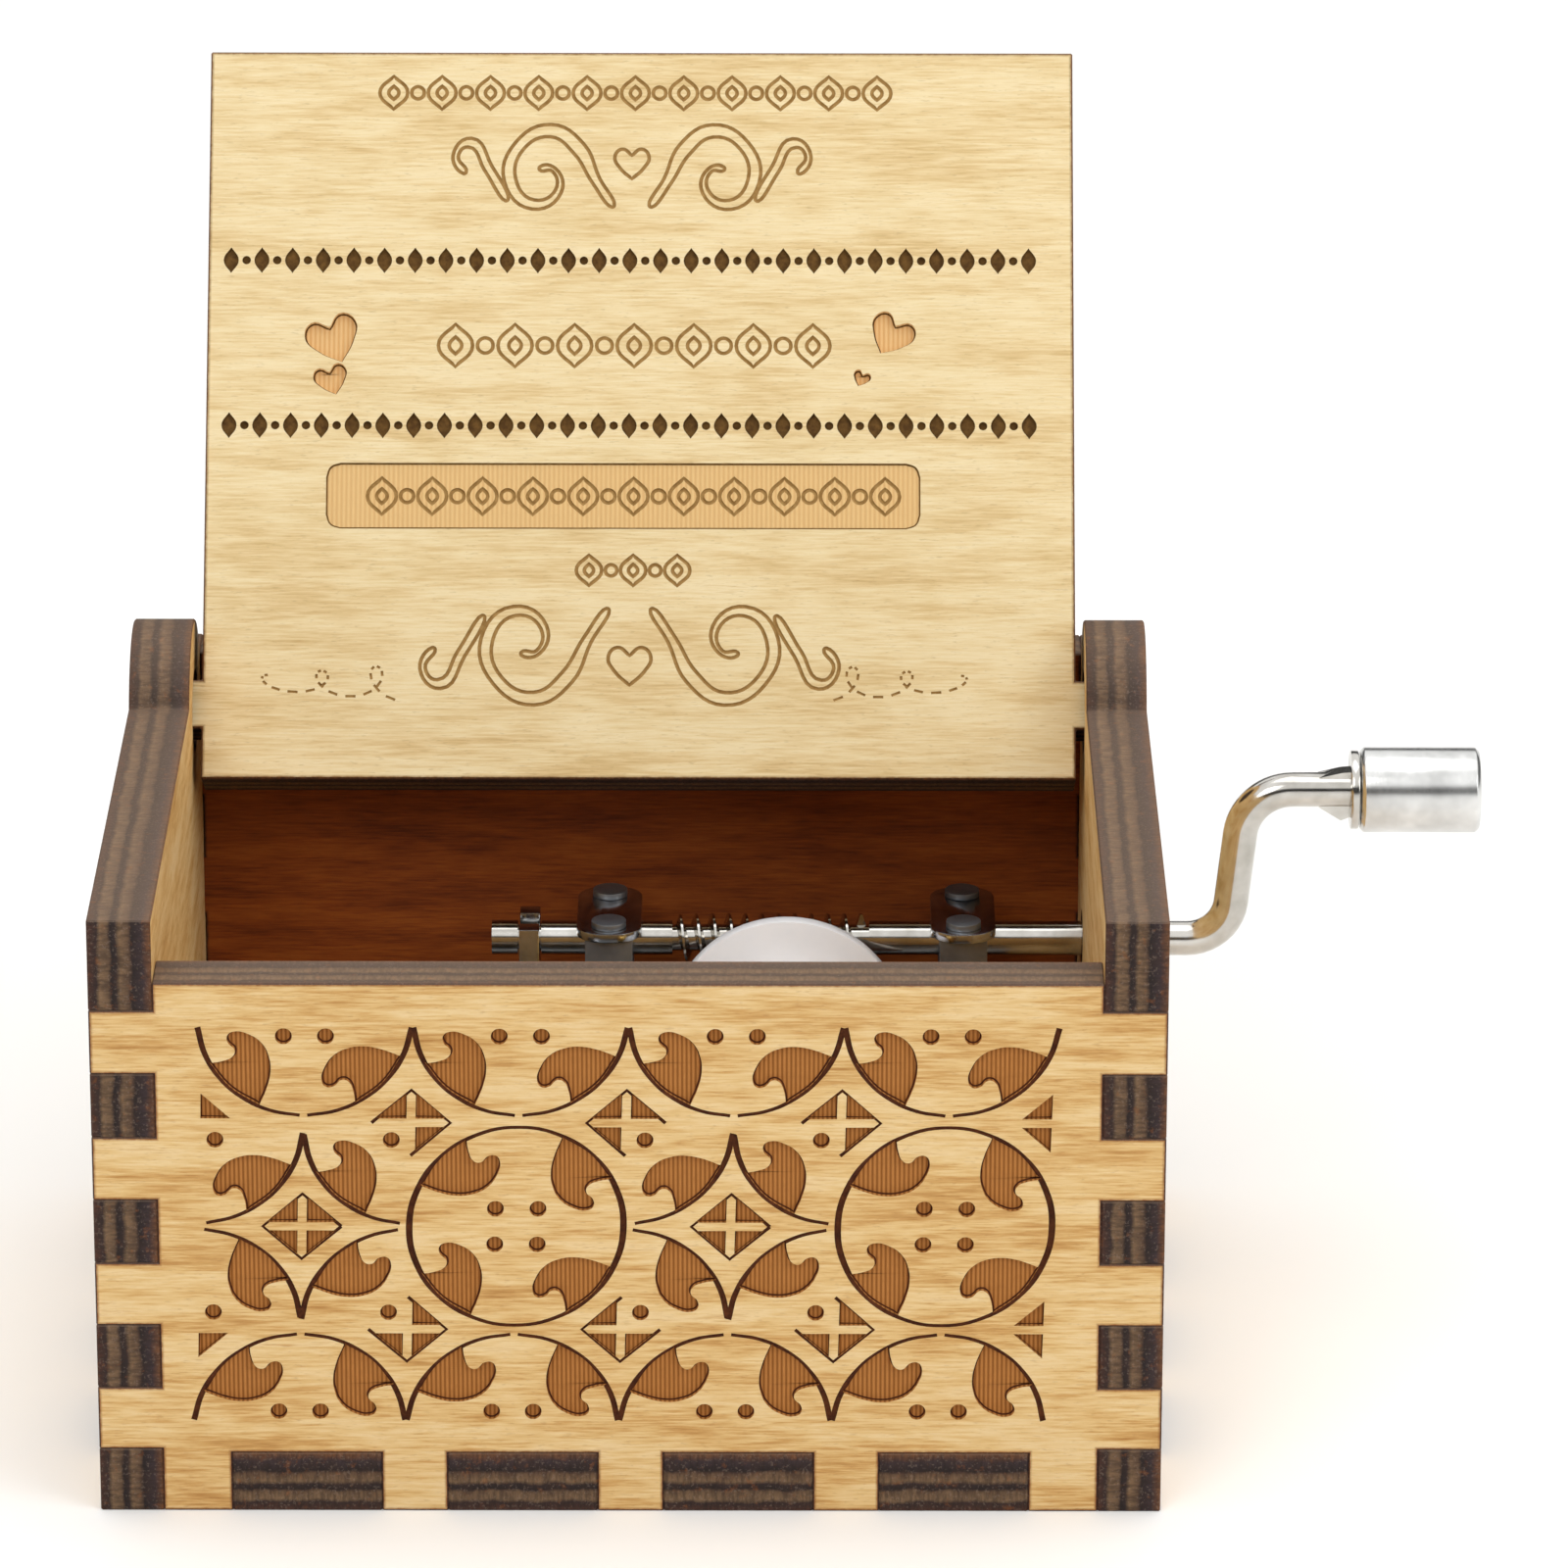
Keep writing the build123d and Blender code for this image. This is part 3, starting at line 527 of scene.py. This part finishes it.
def outlined_row(y, half_width, pitch, height):
    """Outlined lozenges, each with a small one inside, and rings between them."""
    count = 2 * round(half_width / pitch)
    found = []
    for i in range(count + 1):
        x = (i - count / 2) * pitch - 0.4
        if i % 2 == 0:
            found += [lozenge(x, y, pitch * 1.15, height), lozenge(x, y, pitch * 0.42, height * 0.42)]
        else:
            found.append(circle(x, y, pitch * 0.26, 6))
    return found


def bead_row(y, half_width, pitch=0.98):
    """Small filled lozenges and dots in turn."""
    count = 2 * round(half_width / pitch)
    found = []
    for i in range(count + 1):
        x = (i - count / 2) * pitch - 0.7
        found.append(lozenge(x, y, 0.96, 1.7) if i % 2 == 0 else circle(x, y, 0.27, 6))
    return found


# The right half of a pen flourish as (x, y, width) points from the middle outwards
FLOURISH = (
    ((1.2, -2.3, 0.3), (2.3, -0.6, 0.8), (3.4, 1.5, 1.3), (5.2, 2.7, 1.2), (7.2, 1.7, 1.0), (7.8, -0.6, 1.1),
     (6.3, -2.2, 0.9), (4.7, -1.3, 0.6), (5.0, 0.1, 0.4), (5.9, 0.2, 0.3)),
    ((8.0, -1.9, 0.3), (9.2, 0.2, 0.8), (10.4, 1.9, 0.9), (11.3, 1.0, 0.5), (10.7, -0.1, 0.3)),
)


def ribbon(points):
    """The closed outline of a pen stroke whose width changes along it."""
    left, right = [], []
    for i, (x, y, width) in enumerate(points):
        ahead, behind = points[min(i + 1, len(points) - 1)], points[max(i - 1, 0)]
        along = Vector((ahead[0] - behind[0], ahead[1] - behind[1])).normalized()
        offset = Vector((-along.y, along.x)) * width * 0.34
        left.append((x + offset.x, y + offset.y, False, 1.0))
        right.append((x - offset.x, y - offset.y, False, 1.0))
    return left + right[::-1]


def flourish(y, scale, rise):
    """Two mirrored pen flourishes, upright for a rise of 1 and upside down for -1."""
    return [ribbon([(-0.6 + side * scale * px, y + rise * scale * py, width) for px, py, width in stroke])
            for side in (-1, 1) for stroke in FLOURISH]


def lid_outlines():
    """The lid's rows, flourishes and small hearts, which are all drawn as thin closed lines."""
    found = outlined_row(44.9, 15.6, 1.55, 2.2) + outlined_row(28.2, 11.4, 1.9, 2.8)
    found += outlined_row(13.5, 3.4, 1.4, 2.0) + flourish(39.7, 1.0, 1) + flourish(8.3, 1.16, -1)
    return found + [heart(-0.6, 40.3, 2.1, 0.0), heart(-0.6, 7.4, 2.6, 0.0)]


def dashed_swirl(x, y, side):
    """A looping dashed trail, as short strokes along one curve."""
    dashes = []
    count = 22
    for i in range(count):
        piece = []
        for step in (0.0, 0.55):
            t = (i + step) / count
            angle = 2 * pi * 1.25 * t
            px = x + side * (4.4 - 8.6 * t + 1.1 * sin(2 * angle))
            piece.append((px, y + 1.2 * cos(2 * angle) * (0.4 + 0.6 * t), True, 1.0))
        dashes.append(piece)
    return dashes


HEARTS = [heart(-19.6, 28.7, 3.3, 0.35), heart(-19.7, 26.0, 2.1, 0.3),
          heart(16.0, 29.0, 2.8, -0.5), heart(14.1, 26.1, 1.1, -0.4)]
BEAD_ROWS = (33.8, 22.95)       # heights above the lid's lower edge, in millimetres
CARTOUCHE_X, CARTOUCHE_Y = -1.05, 18.35
CARTOUCHE_CORNERS = ((1, 1, (0, 45, 90)), (-1, 1, (90, 45, 0)), (-1, -1, (0, 45, 90)), (1, -1, (90, 45, 0)))
CARTOUCHE = [
    (CARTOUCHE_X + side * (18.0 + 0.9 * cos(radians(turn))),
     CARTOUCHE_Y + up * (1.25 + 0.9 * sin(radians(turn))), turn != 45, 1.0)
    for side, up, turns in CARTOUCHE_CORNERS for turn in turns
]


# ---- Plywood pieces ----
def select_facing(piece, normal, material=None):
    """Selects the faces that look along normal, or only those of one material, and no others."""
    names = [m.name for m in piece.data.materials]
    for item in (piece.data.vertices, piece.data.edges, piece.data.polygons):
        item.foreach_set("select", [False] * len(item))
    for polygon in piece.data.polygons:
        wanted = material is None or names[polygon.material_index] == material.name
        polygon.select = wanted and polygon.normal.dot(normal) > 0.999


def edit(piece, operation, **settings):
    """Runs one edit-mode operation on the faces that are selected."""
    only(piece)
    bpy.ops.object.mode_set(mode="EDIT")
    operation(**settings)
    bpy.ops.object.mode_set(mode="OBJECT")


def start_plywood(node, normal, veneer, edge, name):
    """A clean panel with its faces and edges told apart and a margin along each edge of its faces."""
    piece = copy_of(node, name)
    apply_modifier(piece, "BEVEL", width=EDGE_WEAR, segments=1, limit_method="ANGLE", angle_limit=SHARP_ANGLE)
    for material in (veneer, edge):
        piece.data.materials.append(material)
    for polygon in piece.data.polygons:
        polygon.material_index = 0 if abs(polygon.normal.dot(normal)) > 0.99 else 1
    for side in (normal, -normal):
        select_facing(piece, side)
        edit(piece, bpy.ops.mesh.inset, thickness=SCORCH_WIDTH, use_even_offset=True)
    return piece


def split_face(piece, normal, direction, places):
    """Splits a face across at each place along direction, so that no cut leaves one face with many holes."""
    for place in places:
        select_facing(piece, normal)
        edit(piece, bpy.ops.mesh.bisect, plane_co=direction * place, plane_no=direction)


def engrave(piece, tools):
    """Cuts all the tools out of the piece at once."""
    only(tools[0])
    for tool in tools[1:]:
        tool.select_set(True)
    bpy.ops.object.join()
    apply_modifier(
        piece, "BOOLEAN", operation="DIFFERENCE", solver="EXACT", use_self=True,
        material_mode="TRANSFER", object=tools[0],
    )
    bpy.data.objects.remove(tools[0])


def outline_floors(piece, normal, floor, outline):
    """Gives the floor of each rastered area a darker outline."""
    if outline.name not in [m.name for m in piece.data.materials]:
        piece.data.materials.append(outline)
    select_facing(piece, normal, floor)
    edit(piece, bpy.ops.mesh.inset, thickness=OUTLINE_WIDTH, use_even_offset=False)
    inside = {polygon.index for polygon in piece.data.polygons if polygon.select}
    names = [m.name for m in piece.data.materials]
    for polygon in piece.data.polygons:
        ring = polygon.normal.dot(normal) > 0.999 and polygon.index not in inside
        if ring and names[polygon.material_index] == floor.name:
            polygon.material_index = names.index(outline.name)


def finish_plywood(piece, node, normal, edge):
    """Stores where the wood is burnt and how deep each point lies in the sheet, for the materials."""
    apply_modifier(piece, "TRIANGULATE", min_vertices=5)
    data = piece.data
    names = [m.name for m in data.materials]
    charred = [polygon for polygon in data.polygons if names[polygon.material_index] == edge.name]
    burnt = {v for polygon in charred for v in polygon.vertices}
    heights = [vertex.co.dot(normal) for vertex in data.vertices]
    low, high = min(heights), max(heights)
    burn = data.attributes.new("burn", "FLOAT", "POINT")
    burn.data.foreach_set("value", [1.0 if i in burnt else 0.0 for i in range(len(heights))])
    depth = data.attributes.new("ply", "FLOAT", "POINT")
    depth.data.foreach_set("value", [(height - low) / (high - low) for height in heights])
    stand_for(piece, node)


def make_panels():
    """The sides and the bottom, which carry no engraving."""
    plain = (
        ("left_side_panel", X_AXIS, veneer_y, edge_x),
        ("right_side_panel", X_AXIS, veneer_y, edge_x),
        ("bottom_panel", Z_AXIS, veneer_x, edge_z),
    )
    for node, normal, veneer, edge in plain:
        finish_plywood(start_plywood(node, normal, veneer, edge, node + "_plywood"), node, normal, edge)


def make_back():
    """The back panel: deep red-brown inside, partly painted shade, plain birch outside."""
    piece = start_plywood("back_panel", Y_AXIS, back_veneer_painted_shade, edge_y, "back_panel_plywood")
    piece.data.materials.append(veneer_x)
    for polygon in piece.data.polygons:
        if polygon.normal.y > 0.99:
            polygon.material_index = 2
    finish_plywood(piece, "back_panel", Y_AXIS, edge_y)


def make_front():
    """The front panel, engraved with leaves, rings and diamonds."""
    piece = start_plywood("front_panel", Y_AXIS, veneer_x, edge_y, "front_panel_engraved")
    split_face(piece, -Y_AXIS, X_AXIS, [(PATTERN_X + RING * i) * MM + GRID_SHIFT for i in range(-4, 5)])
    split_face(piece, -Y_AXIS, Z_AXIS, [z * MM for z in (4.6, 8.9, 15.3, 21.9, 28.3, 32.6)])
    lean = Matrix(((1, SLANT, 0, -SLANT * PATTERN_Z * MM), (0, 1, 0, 0), (0, 0, 1, 0), (0, 0, 0, 1)))
    place = Matrix.Translation((0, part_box("front_panel")[0].y, 0)) @ Matrix.Rotation(pi / 2, 4, "X") @ lean
    flats, strokes, rings = front_pattern()
    engrave(piece, [
        cutter(flats, True, place, floor_brown, depth=FLAT_DEPTH),
        cutter(strokes, False, place, line_brown, line=0.27),
        cutter(rings, True, place, line_brown, line=0.27),
    ])
    outline_floors(piece, -Y_AXIS, floor_brown, line_brown)
    finish_plywood(piece, "front_panel", Y_AXIS, edge_y)


def make_lid():
    """The lid, engraved on its inner face with ornaments only."""
    along = Vector((0, sin(LID_LEAN), cos(LID_LEAN)))
    inward = Vector((0, -cos(LID_LEAN), sin(LID_LEAN)))
    piece = start_plywood("lid", inward, lid_veneer, edge_z, "lid_engraved")
    lower_edge = HINGE - along * LID_REAR + inward * PLY / 2
    split_face(piece, inward, X_AXIS, [x * MM + GRID_SHIFT for x in (-22, -14, -7, 0, 7, 14, 22)])
    foot = lower_edge.dot(along)
    split_face(piece, inward, along, [foot + y * MM for y in (3.6, 12.0, 15.4, 21.8, 25.0, 31.6, 35.4, 43.2)])
    place = Matrix.Translation(lower_edge) @ Matrix.Rotation(pi / 2 - LID_LEAN, 4, "X")
    sunk = place @ Matrix.Translation((0, 0, -CARTOUCHE_DEPTH))
    beads = [bead for y in BEAD_ROWS for bead in bead_row(y, 25.0)]
    engrave(piece, [
        cutter([CARTOUCHE], True, place, lid_floor, depth=CARTOUCHE_DEPTH),
        cutter([CARTOUCHE], True, sunk, lid_line, line=0.22),
        cutter(outlined_row(CARTOUCHE_Y, 16.2, 1.6, 2.4), True, sunk, lid_line, line=0.24),
        cutter(HEARTS, True, place, heart_floor, depth=HEART_DEPTH),
        cutter(beads, True, place, lid_dark, depth=BEAD_DEPTH),
        cutter(lid_outlines(), True, place, lid_line, line=0.24),
        cutter(dashed_swirl(-19.1, 6.2, -1) + dashed_swirl(16.0, 6.2, 1), False, place, lid_line, line=0.17),
    ])
    outline_floors(piece, inward, heart_floor, lid_dark)
    finish_plywood(piece, "lid", inward, edge_z)


# ---- Metal and plastic pieces ----
def eased(node, material, width=0.06, angle=32):
    """The CAD shape with its sharp edges broken and its round faces smooth."""
    piece = copy_of(node, node + "_eased")
    piece.data.materials.append(material)
    if width:
        apply_modifier(
            piece, "BEVEL", width=width * MM, segments=2, limit_method="ANGLE", angle_limit=radians(angle),
        )
    only(piece)
    bpy.ops.object.shade_smooth_by_angle(angle=radians(angle))
    stand_for(piece, node)


def make_movement():
    """The comb movement, the crank and its handle."""
    eased("bedplate", casting, 0.12)
    for node in ("left_shaft_keeper", "right_shaft_keeper", "thrust_fork", "front_bracket"):
        eased(node, pressed, 0.10)
    eased("comb", ground_steel, 0.03)
    eased("comb_weights", lead, 0.05)
    for node in ("case_screws", "comb_screws", "bracket_screw"):
        eased(node, plated, 0.06)
    eased("drum", brass, 0.05)
    eased("drum_end_caps", brass, 0.05)
    eased("drum_arbor", wire, 0.06)
    eased("drum_pins", wire, 0)
    eased("worm_wheel", acetal, 0.05)
    eased("crank_shaft", nickel, 0)
    eased("knob_washer", nickel, 0.08)
    eased("crank_knob", aluminium, 0.05)
    eased("knob_cap", aluminium, 0.10)


# ---- Studio ----
CAMERA_PLACE = (0.0092, -0.5289, 0.2298)
CAMERA_TILT = radians(70)       # from looking straight down
CAMERA_ROLL = 0.0015
CAMERA_LENS = 209.4
LIGHT_TARGET = Vector((0, 0, 0.03))
ROOM_BRIGHTNESS = 1.15


def make_studio():
    """A pale floor, three soft lights, and a white room whose dark band shows in the metal."""
    bpy.ops.mesh.primitive_plane_add(size=6, location=(0, 0, 0))
    floor = bpy.context.active_object
    floor.name = "studio_floor"
    material, tree, shader = start_material("studio_floor", Roughness=0.9)
    shader.inputs["Base Color"].default_value = colour("F7F6F4")
    floor.data.materials.append(material)
    world = bpy.data.worlds.new("studio")
    world.use_nodes = True
    tree = world.node_tree
    direction = add(tree, "ShaderNodeTexCoord").outputs["Generated"]
    height = add(tree, "ShaderNodeSeparateXYZ", {"Vector": direction})
    room = add(tree, "ShaderNodeValToRGB", {"Fac": height.outputs["Z"]}, [
        (0.0, "FFFFFF"), (0.06, "FFFFFF"), (0.15, "2A2A2A"), (0.40, "3E3E3E"), (0.52, "FFFFFF"),
        (1.0, "FFFFFF"),
    ])
    tree.links.new(room.outputs["Color"], tree.nodes["Background"].inputs["Color"])
    tree.nodes["Background"].inputs["Strength"].default_value = ROOM_BRIGHTNESS
    bpy.context.scene.world = world
    lights = (
        ("key", (-0.25, -0.50, 0.50), 0.30, 0.90),
        ("fill", (0.50, -0.35, 0.34), 0.35, 1.15),
        ("top", (0.05, 0.05, 0.75), 0.45, 0.95),
    )
    for name, place, size, power in lights:
        bpy.ops.object.light_add(type="AREA", location=place)
        light = bpy.context.active_object
        light.name = name
        light.data.size = size
        light.data.energy = power
        light.rotation_euler = (LIGHT_TARGET - Vector(place)).to_track_quat("-Z", "Y").to_euler()


def make_camera():
    """A long lens, 20 degrees above the horizon and a little to the right of the case."""
    camera = bpy.data.objects.new("camera", bpy.data.cameras.new("camera"))
    bpy.context.scene.collection.objects.link(camera)
    camera.data.sensor_width = 36
    camera.data.lens = CAMERA_LENS
    camera.data.clip_start = 0.01
    turn = Matrix.Rotation(CAMERA_TILT, 4, "X") @ Matrix.Rotation(CAMERA_ROLL, 4, "Z")
    camera.matrix_world = Matrix.Translation(CAMERA_PLACE) @ turn
    bpy.context.scene.camera = camera
    bpy.context.scene.view_settings.view_transform = "Standard"


make_camera()
make_studio()
make_panels()
make_back()
make_front()
make_lid()
make_movement()
